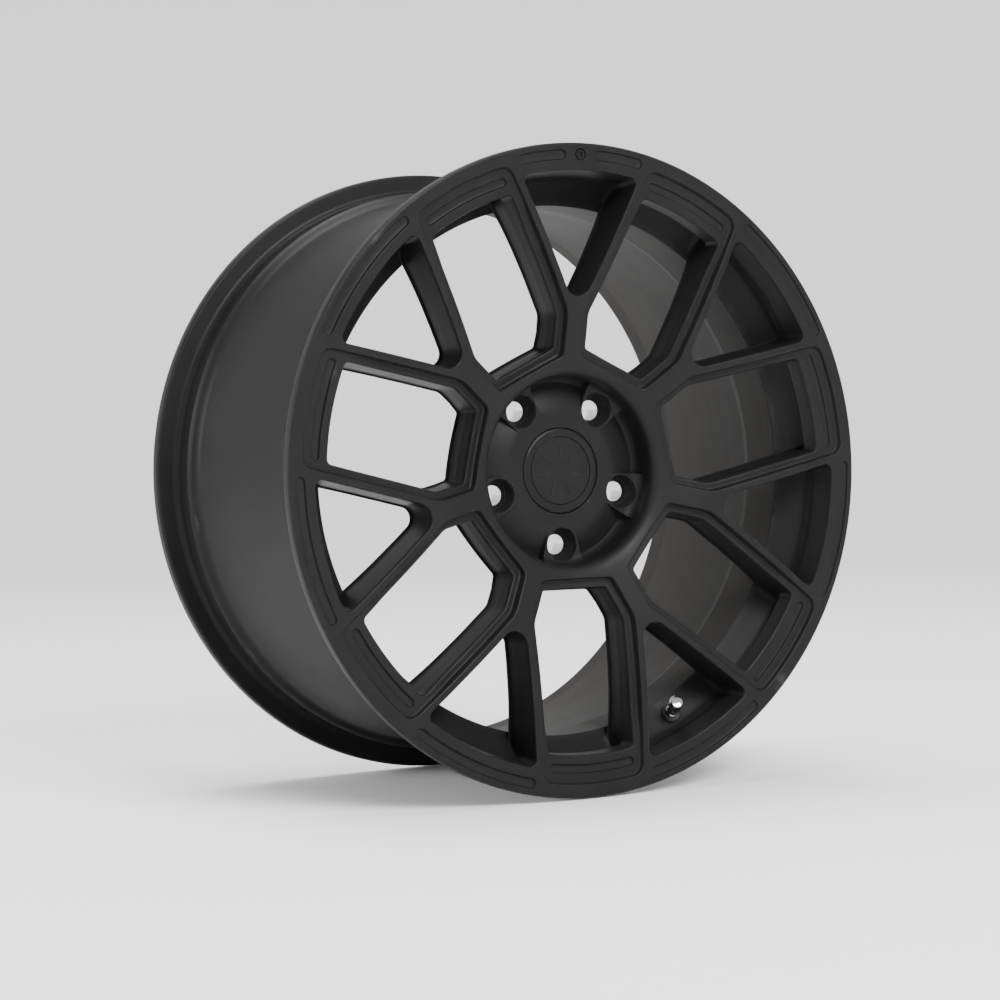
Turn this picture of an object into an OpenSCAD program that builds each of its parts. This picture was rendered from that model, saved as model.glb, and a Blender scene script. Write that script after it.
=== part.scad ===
// Forged racing wheel rim, 18 x 9.5: seven Y spokes in a deep concave face, five lug seats,
// a snap-in centre cap and a snap-in tyre valve.
// The wheel stands upright. +Z is up, the axle runs along Y, the styled face looks along -Y,
// and the origin is on the axle, midway between the two flanges.

/* [Rim] */
// Overall width across the two flanges
rim_w = 262.3; // [240:0.1:290]
// Outer diameter of the flanges
rim_d = 497; // [490:0.5:500]
// Radius of the bead seats
seat_r = 231; // [229:0.1:232]
// Outer radius of the drop centre
well_r = 209; // [205:0.5:212]
// Wall thickness of the barrel in the drop centre
wall_t = 4.4; // [3.5:0.1:6]
// Width of one flange
flange_w = 10.5; // [9:0.1:12]

/* [Face] */
// Radius of the arc that hollows the spokes towards the hub
bowl_arc_r = 515; // [450:5:700]
// Wheel radius at which the hollow starts
bowl_start_r = 225; // [215:1:235]
// Half the width of a spoke's neck
neck_half_w = 8; // [6:0.1:10]
// Width of one arm of a Y, across the arm
arm_w = 6; // [5:0.1:9]
// Angle of an arm from its spoke's own centre line
arm_angle = 26.6; // [24:0.1:29]
// Radius at which the inner lines of the two arms would meet
fork_apex_r = 119.5; // [112:0.5:126]
// Width of the ledge round each wide window
ledge_w = 6.5; // [4:0.1:8]
// How far the ledge lies under the spoke
ledge_drop = 6.4; // [3:0.1:8]
// How far the ledge lies under the rim at the window's outer end
rim_ledge_drop = 3.5; // [2:0.1:6]
// Depth of the long slot pockets in the rim
slot_drop = 1.6; // [1:0.1:2.5]

/* [Hub] */
// Radius of the centre bore
bore_r = 36.3; // [28:0.05:40]
// Bolt circle diameter
bolt_circle_d = 114.3; // [108:0.1:120]
// Radius of the stud hole in a seat insert
stud_hole_r = 7.7; // [7:0.1:8.5]
// Radius of the lug wells
lug_well_r = 12.2; // [11.5:0.1:13]
// Offset of the mounting face from the middle of the rim
offset_et = 60; // [55:0.5:64]
// Depth of the hub's face under the front flange
hub_face_depth = 41; // [38:0.5:44]
// Radius of the dish round the hub's face
dish_r = 72.6; // [70:0.1:75]
// Radius of the centre cap
cap_r = 33; // [31:0.1:34]

/* [Valve] */
// Radius at which the valve sits in the rim
valve_place_r = 215.7; // [212:0.1:218]
// Radius of the valve hole
valve_hole_r = 5.65; // [5.65:0.05:5.8]

/* [Hidden] */

big_fn = 120;
small_fn = 48;
spokes = 7;
lugs = 5;
pitch = 360 / spokes;
first_lug_at = 54;
// The valve stands in the fork of the fourth spoke round from the top
valve_at = 90 - 3 * pitch;
half_w = rim_w / 2;
rim_r = rim_d / 2;
face_colour = "#2b2b2d";
join_r = 215;
hub_join_r = 88;
through = 400;

// Windows: rim ends and corners, and how far the cuts reach into the lip
v_rim_end_r = 227.5;
v_fork_r = 11.3;
v_end_r = 5.5;
v_depth = 21;
w_rim_end_r = 216;
w_end_r = 4;
w_depth = 20;
w_top_rim_end_r = 237.4;
w_top_end_r = 9;
w_hub_side = 82.8;
w_bend_r = 22;
w_foot_r = 5;

// Slot pockets in the rim's face and in the ledge, as [inner radius, outer radius, half angle]
face_slot = [235.5, 243.5, 12.2];
ledge_slot = [222.8, 230, 8.6];

// Backs of the spokes, as [radius, depth]
spoke_back = [[180, 36], [130, 41], [hub_join_r, 55]];

// Hub: cap recess, lip, lug wells and weight pockets
recess_depth = 4;
recess_clear = 0.4;
lip_bore_r = 29.5;
lip_len = 15;
back_edge_r = 72;
back_step = 4;
bore_chamfer = 1.5;
well_depth = 4;
seat_r_out = 10;
seat_taper_h = 3.81;
seat_flare_r = 9;
seat_flare_h = 4.4;
seat_inset = 0.6;
pocket_half_angle = 21;
pocket_from_r = 46.5;
pocket_deep_r = 64;
pocket_to_r = 67.6;
pocket_deep = 8;
pocket_end = 5;

// Cap: skirt, legs, badge and wire ring, with heights under the hub's face
cap_crown = 0.5;
cap_face_t = 3.7;
skirt_r = 29.2;
skirt_bore_r = 27.2;
skirt_len = 14.2;
legs = 6;
leg_gap = 6;
leg_gap_len = 9;
badge_r = 25.9;
badge_sink = 0.6;
badge_t = 0.8;
badge_clear = 0.2;
bar_w = 2.8;
bar_from_r = 9.5;
bar_len = 10.5;
bar_h = 0.5;
wire_r = 0.9;
wire_ring_r = 27.15;
wire_ring_at = 11.5;

// Lip behind the face where the spokes run into the barrel, as [radius, depth] from the front
lip_back = [[join_r, 16], [222, 16], [225, 20], [224.5, 28], [222.7, 31.5]];
cone_foot = [204.6, 45];

// Heights and radii along the valve, from the wall's surface
spot_z = -0.8;
hole_back_z = -4.8;
spring_low_z = 11;
spring_high_z = 17;
thread_r = 3.85;
cap_bore_r = 4.15;
bore_low_r = 1.8;
bore_high_r = 2.65;
pin_r = 0.75;
pin_hole_r = 1.1;

// Depth of the hollow face under the front flange at a radius
function face_depth(r) = r >= bowl_start_r ? 0
    : bowl_arc_r - sqrt(pow(bowl_arc_r, 2) - pow(bowl_start_r - r, 2));
// Depth of the ledge's surface: shallow at the rim, deeper along the spokes
function ledge_depth(r) = face_depth(r)
    + (r >= join_r ? rim_ledge_drop
        : min(ledge_drop, rim_ledge_drop + (join_r - r) * (ledge_drop - rim_ledge_drop) / 25));

// Depth of the cone behind the lip at a radius, and where the spokes' backs run into it
function cone_depth(r) = let (lip = lip_back[len(lip_back) - 1])
    lip[1] + (lip[0] - r) * (cone_foot[1] - lip[1]) / (lip[0] - cone_foot[0]);
spoke_root = [212, cone_depth(212)];

function turned(p, a) = [p[0] * cos(a) - p[1] * sin(a), p[0] * sin(a) + p[1] * cos(a)];
// Where the line from [0, apex] at an angle from +Y meets a circle about the origin
function line_on_circle(apex, a, r) =
    let (t = sqrt(r * r - pow(apex * sin(a), 2)) - apex * cos(a)) [t * sin(a), apex + t * cos(a)];
function unit(v) = v / norm(v);
// Arc that rounds the corner b of the path a-b-c
function corner(a, b, c, r, n = 6) =
    let (p = unit(a - b), q = unit(c - b), h = acos(p * q) / 2, m = b + unit(p + q) * r / sin(h),
         s = b + p * r / tan(h) - m, e = b + q * r / tan(h) - m)
    [for (i = [0:n]) m + r * unit(s * (1 - i / n) + e * (i / n))];
function mirrored(points) = [for (i = [len(points) - 1:-1:0]) [-points[i][0], points[i][1]]];

// Outline of a V window, inside the fork of a spoke that points along +Y
function v_window(rim_end_r = v_rim_end_r, fork_r = v_fork_r, end_r = v_end_r) =
    let (apex = [0, fork_apex_r], tip = line_on_circle(fork_apex_r, arm_angle, rim_end_r),
         side = atan2(tip[0], tip[1]))
    concat(
        corner([-tip[0], tip[1]], apex, tip, fork_r, 10),
        corner(apex, tip, turned([0, rim_end_r], -side * 0.8), end_r),
        [for (i = [-3:3]) turned([0, rim_end_r], side * 0.7 * i / 3)],
        corner(turned([0, rim_end_r], side * 0.8), [-tip[0], tip[1]], apex, end_r));

// Outline of a wide window, between two spokes, its own centre line along +Y
function w_window(inset, rim_end_r, end_r) =
    let (apex = fork_apex_r - (arm_w + inset) / sin(arm_angle), neck = neck_half_w + inset,
         hub_side = w_hub_side + inset,
         bend = turned([-neck, apex + neck / tan(arm_angle)], -pitch / 2),
         tip_at = line_on_circle(apex, arm_angle, rim_end_r),
         tip = turned([-tip_at[0], tip_at[1]], -pitch / 2),
         foot = [(hub_side - neck * sin(pitch / 2)) * tan(pitch / 2) - neck * cos(pitch / 2), hub_side],
         side = atan2(tip[0], tip[1]),
         half = concat(
            corner([-foot[0], foot[1]], foot, bend, w_foot_r),
            corner(foot, bend, tip, w_bend_r),
            corner(bend, tip, turned([0, rim_end_r], -side * 0.8), end_r),
            [for (i = [3:-1:1]) turned([0, rim_end_r], -side * 0.7 * i / 3)]))
    concat(half, [[0, rim_end_r]], mirrored(half));

// Outline of a slot with round ends along a circle, centred on +Y
function arc_slot(inner_r, outer_r, half_angle, n = 8) =
    let (mid_r = (inner_r + outer_r) / 2, end_r = (outer_r - inner_r) / 2)
    concat(
        [for (i = [-n:n]) turned([0, outer_r], half_angle * i / n)],
        [for (i = [1:n - 1]) turned([0, mid_r] + turned([0, end_r], 180 * i / n), half_angle)],
        [for (i = [n:-1:-n]) turned([0, inner_r], half_angle * i / n)],
        [for (i = [n - 1:-1:1]) turned([0, mid_r] + turned([0, end_r], -180 * i / n), -half_angle)]);

// Puts a shape drawn with its face up, seen from the front, into the wheel's own frame
module wheel_frame() {
    rotate([90, 0, 0]) children();
}

// A ring from a closed list of [radius, depth under the front flange]
module ring(profile, fn = big_fn) {
    rotate_extrude($fn = fn)
        polygon([for (p = profile) [p[0], half_w - p[1]]]);
}

module window_cut(points, from_depth, to_depth) {
    translate([0, 0, half_w - to_depth])
        linear_extrude(to_depth - from_depth) polygon(points);
}

module v_cuts(to_depth) {
    for (i = [0:spokes - 1])
        rotate([0, 0, i * pitch]) window_cut(v_window(), -1, to_depth);
}

module w_cuts(to_depth, inset = ledge_w, rim_end_r = w_rim_end_r, end_r = w_end_r) {
    for (i = [0:spokes - 1])
        rotate([0, 0, (i + 0.5) * pitch])
            window_cut(w_window(inset, rim_end_r, end_r), -1, to_depth);
}

// The tyre's side of the barrel, from the front flange to the back one
function tyre_side() = let (w = rim_w, f = flange_w) [
    [rim_r - 3, 0], [rim_r - 0.9, 0.9], [rim_r, 3], [rim_r, f - 3], [rim_r - 0.9, f - 0.9],
    [rim_r - 3, f], [seat_r + 5.5, f], [seat_r + 1.6, f + 1.6], [seat_r, f + 5.5],
    [seat_r - 0.7, 31], [seat_r + 0.6, 33], [seat_r - 1.6, 36.2], [well_r + 2, 50.8],
    [well_r, 54], [well_r + 0.6, 84], [seat_r - 5.6, 221], [seat_r - 1, 226],
    [seat_r + 1.3, w - 32.5], [seat_r - 0.4, w - 30], [seat_r, w - f - 5.5],
    [seat_r + 1.6, w - f - 1.6], [seat_r + 5.5, w - f], [rim_r - 3, w - f],
    [rim_r - 0.9, w - f + 0.9], [rim_r, w - f + 3], [rim_r, w - 3], [rim_r - 0.9, w - 0.9],
    [rim_r - 3, w]];
// The brake's side of the barrel, from the back flange to the lip behind the face
function brake_side() = [
    [236, rim_w], [223, rim_w - 14], [221.4, rim_w - 18], [221.2, 227.5],
    [well_r - wall_t + 1, 86], cone_foot];

// Barrel with both flanges and the outer ring of the face, forged in one with the spokes
module rim_barrel() {
    color(face_colour) wheel_frame() difference() {
        ring(concat([[join_r, face_depth(join_r)], [bowl_start_r, 0]], tyre_side(), brake_side(),
            [for (i = [len(lip_back) - 1:-1:0]) lip_back[i]]));
        v_cuts(v_depth);
        w_cuts(w_depth);
        w_cuts(rim_ledge_drop, 0, w_top_rim_end_r, w_top_end_r);
        for (i = [0:spokes - 1]) {
            rotate([0, 0, i * pitch])
                window_cut(arc_slot(face_slot[0], face_slot[1], face_slot[2]), -1, slot_drop);
            rotate([0, 0, (i + 0.5) * pitch])
                window_cut(arc_slot(ledge_slot[0], ledge_slot[1], ledge_slot[2]), -1,
                    rim_ledge_drop + slot_drop);
        }
        valve_frame() {
            translate([0, 0, -12]) cylinder(r = valve_hole_r, h = 24, $fn = small_fn);
            translate([0, 0, spot_z]) cylinder(r = 9.2, h = 12, $fn = small_fn);
            translate([0, 0, -15]) cylinder(r = 10, h = 15 + hole_back_z, $fn = small_fn);
        }
    }
}

// One Y: a neck that splits into two arms
module y_spoke(i) {
    color(face_colour) wheel_frame() rotate([0, 0, i * pitch]) difference() {
        rotate([0, 0, 90 - pitch / 2])
            rotate_extrude(angle = pitch, $fn = big_fn)
                polygon([for (p = concat(
                    [for (k = [0:10]) let (r = hub_join_r + (join_r - hub_join_r) * k / 10)
                        [r, face_depth(r)]],
                    lip_back, [spoke_root], spoke_back))
                    [p[0], half_w - p[1]]]);
        window_cut(v_window(), -1, through);
        for (s = [-1, 1]) rotate([0, 0, s * pitch / 2]) {
            window_cut(w_window(ledge_w, w_rim_end_r, w_end_r), -1, through);
            intersection() {
                window_cut(w_window(0, w_top_rim_end_r, w_top_end_r), -1, through);
                ledge_space(hub_join_r - 1, join_r + 1);
            }
        }
    }
}

module y_spoke_1() { y_spoke(0); }
module y_spoke_2() { y_spoke(1); }
module y_spoke_3() { y_spoke(2); }
module y_spoke_4() { y_spoke(3); }
module y_spoke_5() { y_spoke(4); }
module y_spoke_6() { y_spoke(5); }
module y_spoke_7() { y_spoke(6); }

// The room above the ledges, between two radii
module ledge_space(from_r, to_r, n = 10) {
    ring(concat(
        [for (k = [0:n]) let (r = from_r + (to_r - from_r) * k / n) [r, ledge_depth(r)]],
        [[to_r, -2], [from_r, -2]]));
}

// Hub with its dish, lug wells and weight pockets, forged in one with the spokes
module hub_centre() {
    face = hub_face_depth;
    back = half_w - offset_et;
    lip_end = face + lip_len;
    recess_r = cap_r + recess_clear;
    recess_end = face + recess_depth;
    color(face_colour) wheel_frame() difference() {
        ring([[recess_r, face], [dish_r - 4, face], [dish_r - 1, face - 1.2],
            [dish_r, face - 4], [dish_r + 0.3, 28], [dish_r + 1.6, 24.6], [dish_r + 4.4, 22],
            [hub_join_r, face_depth(hub_join_r)], spoke_back[len(spoke_back) - 1],
            [back_edge_r + back_step, back - back_step], [back_edge_r, back],
            [bore_r + bore_chamfer, back], [bore_r, back - bore_chamfer], [bore_r, lip_end],
            [lip_bore_r, lip_end], [lip_bore_r, recess_end], [recess_r, recess_end]]);
        for (i = [0:spokes - 1]) rotate([0, 0, (i + 0.5) * pitch]) {
            window_cut(w_window(ledge_w, w_rim_end_r, w_end_r), -1, through);
            intersection() {
                window_cut(w_window(0, w_top_rim_end_r, w_top_end_r), -1, through);
                ledge_space(78, hub_join_r + 1, 2);
            }
        }
        for (i = [0:lugs - 1]) {
            rotate([0, 0, first_lug_at + i * 360 / lugs]) translate([bolt_circle_d / 2, 0, 0]) {
                translate([0, 0, half_w - face - well_depth])
                    cylinder(r = lug_well_r, h = 17, $fn = small_fn);
                translate([0, 0, half_w - through])
                    cylinder(r = seat_r_out, h = through, $fn = small_fn);
                seat_taper(0);
            }
            weight_pocket(90 + i * 360 / lugs);
        }
    }
}

// Shallow pocket in the hub's face that falls away towards the dish wall
module weight_pocket(at) {
    face = half_w - hub_face_depth;
    rotate([0, 0, at - pocket_half_angle])
        rotate_extrude(angle = 2 * pocket_half_angle, $fn = big_fn)
            polygon([[pocket_from_r, face + 1], [pocket_from_r, face - 0.4],
                [pocket_deep_r, face - pocket_deep], [pocket_to_r, face - pocket_end],
                [pocket_to_r, face + 1]]);
}

// Taper between the lug well and the insert's seat
module seat_taper(clear) {
    translate([0, 0, half_w - hub_face_depth - well_depth - seat_taper_h])
        cylinder(r1 = seat_r_out + clear, r2 = lug_well_r + clear, h = seat_taper_h + 0.001,
            $fn = small_fn);
}

// Bare steel insert with a 60 degree seat, pressed into the hub from the front
module lug_seat(i) {
    top = half_w - hub_face_depth - well_depth - seat_taper_h;
    foot = offset_et + seat_inset;
    color("#b9bcc0") wheel_frame()
        rotate([0, 0, first_lug_at + i * 360 / lugs]) translate([bolt_circle_d / 2, 0, 0])
            rotate_extrude($fn = small_fn)
                polygon([[seat_r_out, top], [stud_hole_r, top - (seat_r_out - stud_hole_r) / tan(30)],
                    [stud_hole_r, foot + seat_flare_h], [seat_flare_r, foot], [seat_r_out, foot]]);
}

module lug_seat_1() { lug_seat(0); }
module lug_seat_2() { lug_seat(1); }
module lug_seat_3() { lug_seat(2); }
module lug_seat_4() { lug_seat(3); }
module lug_seat_5() { lug_seat(4); }

// Moulded cap with a slotted skirt that fills the hub's lip
module centre_cap() {
    face = half_w - hub_face_depth;
    under = face - badge_sink - 2.6;
    color("#2f2f31") wheel_frame() difference() {
        rotate_extrude($fn = big_fn)
            polygon([[0, face + cap_crown], [28, face + cap_crown], [cap_r - 1, face + 0.3],
                [cap_r, face - 0.6], [cap_r, face - cap_face_t], [skirt_r, face - cap_face_t],
                [skirt_r, face - skirt_len], [skirt_bore_r, face - skirt_len],
                [skirt_bore_r, under], [0, under]]);
        for (i = [0:legs - 1]) rotate([0, 0, i * 360 / legs])
            translate([20, -leg_gap / 2, face - skirt_len - 0.8]) cube([12, leg_gap, leg_gap_len]);
        translate([0, 0, face - badge_sink])
            cylinder(r = badge_r + badge_clear, h = 3, $fn = big_fn);
        wire_ring();
    }
}

// Plain badge plate in the cap, with a ring of short bars, one for each spoke
module cap_badge() {
    bottom = half_w - hub_face_depth - badge_sink;
    color("#343436") wheel_frame() translate([0, 0, bottom]) {
        cylinder(r = badge_r, h = badge_t, $fn = big_fn);
        for (i = [0:spokes - 1]) rotate([0, 0, i * pitch])
            translate([bar_from_r, -bar_w / 2, badge_t - 0.1]) cube([bar_len, bar_w, bar_h]);
    }
}

module wire_ring() {
    rotate_extrude($fn = big_fn)
        translate([wire_ring_r, half_w - hub_face_depth - wire_ring_at])
            circle(r = wire_r, $fn = 24);
}

// Wire ring inside the skirt that springs the legs outwards
module cap_wire_ring() {
    color("#9a9ca0") wheel_frame() wire_ring();
}

// The valve's own frame: its hole's centre on the sloping wall, +Z out of the wall towards the hub
module valve_frame() {
    lip_foot = lip_back[len(lip_back) - 1];
    slope = atan2(lip_foot[0] - cone_foot[0], cone_foot[1] - lip_foot[1]);
    rotate([0, 0, valve_at]) translate([valve_place_r, 0, half_w - cone_depth(valve_place_r)])
        rotate([0, slope - 90, 0]) children();
}

module valve_ring(profile) {
    wheel_frame() valve_frame() rotate_extrude($fn = small_fn) polygon(profile);
}

// Snap-in rubber body: bulb on the tyre's side, groove in the hole, collar on the outside
module valve_rubber() {
    color("#1a1a1b") valve_ring([[3.1, -20], [6, -20], [7.6, -15], [8.3, -8.5],
        [8.3, hole_back_z], [valve_hole_r, hole_back_z], [valve_hole_r, spot_z], [7.9, spot_z],
        [7.9, 1.2], [6.6, 3.2], [5, 3.8], [5, 5.2], [3.1, 5.2]]);
}

// Brass stem with the core's bore and a plain stretch for the thread
module valve_stem() {
    color("#b08d46") valve_ring([[bore_low_r, -21.5], [3.1, -21.5], [3.1, 5.2], [4, 5.2],
        [4, 12], [thread_r, 12], [thread_r, 19.5], [3.4, 20], [bore_high_r, 20],
        [bore_high_r, 9], [bore_low_r, 7]]);
}

// Chrome sleeve over the stem between the rubber collar and the cap
module valve_sleeve() {
    color("#d5d7da") valve_ring([[5, 3.8], [5.4, 4.2], [5.4, 6.2], [4.9, 6.6], [4.9, 11.4],
        [4.4, 12], [4, 12], [4, 5.2], [5, 5.2]]);
}

// Core's barrel, screwed into the stem
module core_barrel() {
    color("#c39b4c") valve_ring([[pin_hole_r, 9.6], [bore_high_r, 9.6], [bore_high_r, 18.6],
        [1.9, 18.6], [1.9, spring_low_z], [pin_hole_r, spring_low_z]]);
}

// Gasket between the core and the stem's taper
module core_gasket() {
    color("#7c1f1a") valve_ring([[pin_hole_r, 7.6], [2, 7.6], [2.55, 9], [2.55, 9.6],
        [pin_hole_r, 9.6]]);
}

// Core's pin, pushed in to let air out
module core_pin() {
    color("#c39b4c") valve_ring([[0, 4.9], [pin_r, 4.9], [pin_r, spring_high_z],
        [1.5, spring_high_z], [1.5, spring_high_z + 0.8], [pin_r, spring_high_z + 0.9],
        [pin_r, 19.2], [0, 19.2]]);
}

// Rubber-faced cup at the foot of the pin that closes the core
module core_cup() {
    color("#a33028") valve_ring([[pin_r, 5.2], [1.4, 5.2], [1.4, 7.5], [pin_r, 7.5]]);
}

// Point k of n round a wire's section, at turn t of a helix
function coil_point(t, k, n, coil_r, wire_r, z) =
    let (r = coil_r + wire_r * cos(360 * k / n)) [r * cos(t), r * sin(t), z + wire_r * sin(360 * k / n)];

// Coil spring round the pin, between the barrel's floor and the pin's collar
module core_spring() {
    wire_r = 0.18;
    coil_r = 1.36;
    sides = 6;
    turns = 5;
    rings = turns * 12;
    low_z = spring_low_z + wire_r;
    rise = spring_high_z - spring_low_z - 2 * wire_r;
    points = [for (i = [0:rings], k = [0:sides - 1])
        coil_point(30 * i, k, sides, coil_r, wire_r, low_z + rise * i / rings)];
    sleeve = [for (i = [0:rings - 1], k = [0:sides - 1]) let (m = (k + 1) % sides)
        [i * sides + k, (i + 1) * sides + k, (i + 1) * sides + m, i * sides + m]];
    ends = [[for (k = [0:sides - 1]) k], [for (k = [sides - 1:-1:0]) rings * sides + k]];
    color("#c9ccd0") wheel_frame() valve_frame() polyhedron(points, concat(sleeve, ends));
}

// Screwed cap over the stem's end
module valve_cap() {
    color("#dfe1e4") valve_ring([[cap_bore_r, 12.4], [5.2, 12.4], [5.5, 12.9], [5.5, 20.2],
        [4.6, 21.8], [0, 22.2], [0, 20.9], [cap_bore_r, 20.9]]);
}

// Soft washer in the roof of the valve cap
module valve_cap_seal() {
    color("#2a2a2a") valve_ring([[1.6, 20.4], [cap_bore_r, 20.4], [cap_bore_r, 20.9], [1.6, 20.9]]);
}

rim_barrel();
hub_centre();
y_spoke_1();
y_spoke_2();
y_spoke_3();
y_spoke_4();
y_spoke_5();
y_spoke_6();
y_spoke_7();
lug_seat_1();
lug_seat_2();
lug_seat_3();
lug_seat_4();
lug_seat_5();
centre_cap();
cap_badge();
cap_wire_ring();
valve_rubber();
valve_stem();
valve_sleeve();
core_barrel();
core_gasket();
core_pin();
core_cup();
core_spring();
valve_cap();
valve_cap_seal();
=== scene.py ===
# Forged racing wheel rim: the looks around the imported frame.
import math

import bmesh
import bpy
from mathutils import Matrix, Vector
from mathutils.geometry import delaunay_2d_cdt


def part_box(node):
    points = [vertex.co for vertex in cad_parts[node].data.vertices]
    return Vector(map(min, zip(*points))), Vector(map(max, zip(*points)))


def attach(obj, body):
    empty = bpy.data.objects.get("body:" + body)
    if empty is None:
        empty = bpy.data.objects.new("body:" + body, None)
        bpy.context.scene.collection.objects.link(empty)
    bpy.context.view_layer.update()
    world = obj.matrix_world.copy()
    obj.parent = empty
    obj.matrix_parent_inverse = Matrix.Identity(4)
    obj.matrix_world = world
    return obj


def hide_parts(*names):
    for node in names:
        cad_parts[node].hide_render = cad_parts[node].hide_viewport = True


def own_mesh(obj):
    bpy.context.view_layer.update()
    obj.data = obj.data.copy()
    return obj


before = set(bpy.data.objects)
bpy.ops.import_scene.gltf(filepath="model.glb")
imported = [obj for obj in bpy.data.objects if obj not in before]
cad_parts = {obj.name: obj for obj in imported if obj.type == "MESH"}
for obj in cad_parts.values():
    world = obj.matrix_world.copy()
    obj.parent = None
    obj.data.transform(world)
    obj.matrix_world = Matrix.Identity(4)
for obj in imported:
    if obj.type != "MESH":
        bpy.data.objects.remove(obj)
bpy.context.view_layer.update()
mm = 0.001
barrelLow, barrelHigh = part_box("rim_barrel")
halfWidth = (barrelHigh[1] - barrelLow[1]) / 2 / mm
rimRadius = (barrelHigh[0] - barrelLow[0]) / 2 / mm
spokes = 7
lugs = 5
pitch = 2 * math.pi / spokes
print("frame loaded, half width", round(halfWidth, 2), "rim radius", round(rimRadius, 2))

# Camera

view = {
    "place": (-1.0232, -1.8320, 0.0),
    "forward": (0.4864, 0.8737, 0.0),
    "roll": math.radians(1.5),  # the wheel stands rolled a little, so the camera rolls the other way
    "lens": 94.2,
    "shiftY": -0.0294,
}


def makeCamera():
    data = bpy.data.cameras.new("camera")
    data.lens = view["lens"]
    data.sensor_width = 36
    data.shift_y = view["shiftY"]
    data.clip_start = 0.05
    camera = bpy.data.objects.new("camera", data)
    bpy.context.scene.collection.objects.link(camera)
    turn = Vector(view["forward"]).to_track_quat("-Z", "Y").to_matrix().to_4x4()
    aimed = Matrix.Translation(Vector(view["place"])) @ turn
    camera.matrix_world = Matrix.Rotation(view["roll"], 4, "Y") @ aimed
    bpy.context.scene.camera = camera


makeCamera()

# Drawing plane: x and y as seen from the front, depth behind the front flange, all in millimetres


class Shell:
    # points and faces gathered before they become one mesh
    def __init__(self):
        self.points, self.faces, self.inks = [], [], []

    def add(self, x, y, depth):
        self.points.append((x * mm, (depth - halfWidth) * mm, y * mm))
        return len(self.points) - 1

    def face(self, corners, ink=0):
        self.faces.append(corners)
        self.inks.append(ink)


def loft(shell, rows, closed=False, flip=False, ink=0):  # rows of (x, y, depth), all equally long
    numbers = [[shell.add(*p) for p in row] for row in rows]
    count = len(rows[0])
    for a, b in zip(numbers, numbers[1:]):
        for i in range(count if closed else count - 1):
            j = (i + 1) % count
            quad = [a[i], a[j], b[j], b[i]]
            shell.face(quad[::-1] if flip else quad, ink)


def insidePath(p, path):
    found = False
    for i in range(len(path)):
        a, b = path[i - 1], path[i]
        if (a[1] > p[1]) != (b[1] > p[1]) and p[0] < (b[0] - a[0]) * (p[1] - a[1]) / (b[1] - a[1]) + a[0]:
            found = not found
    return found


def gapToPath(p, path):
    best = 1e9
    for i in range(len(path)):
        a, b = path[i - 1], path[i]
        dx, dy = b[0] - a[0], b[1] - a[1]
        span = dx * dx + dy * dy
        t = 0 if span == 0 else max(0, min(1, ((p[0] - a[0]) * dx + (p[1] - a[1]) * dy) / span))
        best = min(best, math.hypot(p[0] - a[0] - t * dx, p[1] - a[1] - t * dy))
    return best


# Fills a plane region: the first loop bounds it, the others are holes
def fill(shell, loops, inner, depthAt, margin, flip=False, ink=0):
    def belongs(p):
        return insidePath(p, loops[0]) and not any(insidePath(p, hole) for hole in loops[1:])
    points, edges = [], []
    for loop in loops:
        first = len(points)
        points += [Vector(p) for p in loop]
        edges += [(first + i, first + (i + 1) % len(loop)) for i in range(len(loop))]
    points += [Vector(p) for p in inner if belongs(p) and min(gapToPath(p, loop) for loop in loops) > margin]
    made, _, triangles, _, _, _ = delaunay_2d_cdt(points, edges, [], 0, 1e-7)
    numbers = [shell.add(p.x, p.y, depthAt(p.x, p.y)) for p in made]
    for tri in triangles:
        a, b, c = (made[i] for i in tri)
        area = (b.x - a.x) * (c.y - a.y) - (b.y - a.y) * (c.x - a.x)
        longest = max((a - b).length, (b - c).length, (c - a).length)
        if abs(area) < 0.002 * longest or not belongs((a + b + c) / 3):
            continue  # a hair along a straight edge, or outside
        corners = [numbers[i] for i in tri]
        shell.face(corners if (area > 0) != flip else corners[::-1], ink)


# Turns a profile of (radius, depth) round the axle; angles run clockwise from +Y
def revolve(shell, profile, angles, flip=False, ink=0):
    rows = [[(r * math.sin(t), r * math.cos(t), d) for t in angles] for r, d in profile]
    loft(shell, rows, closed=False, flip=flip, ink=ink)


# A path through (radius, depth, corner radius) with its corners rounded
def rounded(corners, steps=5):
    path = []
    for i, (r, d, fillet) in enumerate(corners):
        here = Vector((r, d))
        if fillet == 0 or i in (0, len(corners) - 1):
            path.append((r, d))
            continue
        toward = (Vector(corners[i - 1][:2]) - here).normalized()
        onward = (Vector(corners[i + 1][:2]) - here).normalized()
        half = toward.angle(onward) / 2
        centre = here + (toward + onward).normalized() * fillet / math.sin(half)
        start = here + toward * fillet / math.tan(half) - centre
        end = here + onward * fillet / math.tan(half) - centre
        for k in range(steps + 1):
            step = (start * (1 - k / steps) + end * (k / steps)).normalized() * fillet + centre
            path.append((step.x, step.y))
    return path


def meshFrom(shell, name):
    mesh = bpy.data.meshes.new(name)
    mesh.from_pydata(shell.points, [], shell.faces)
    mesh.polygons.foreach_set("material_index", shell.inks)
    return mesh


def tidied(mesh, mergeGap=6e-6):
    work = bmesh.new()
    work.from_mesh(mesh)
    bmesh.ops.remove_doubles(work, verts=work.verts, dist=mergeGap)
    bmesh.ops.dissolve_degenerate(work, dist=1e-7, edges=work.edges)
    work.to_mesh(mesh)
    work.free()
    mesh.polygons.foreach_set("use_smooth", [True] * len(mesh.polygons))
    mesh.update()
    return mesh


def placed(mesh, name):
    piece = bpy.data.objects.new(name, mesh)
    bpy.context.scene.collection.objects.link(piece)
    return piece


def withMirror(shell):  # adds the half on the other side of the drawing's Y axis
    count = len(shell.points)
    shell.points += [(-x, y, z) for x, y, z in shell.points]
    shell.faces += [[count + i for i in reversed(f)] for f in shell.faces]
    shell.inks += list(shell.inks)
    return shell


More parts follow.
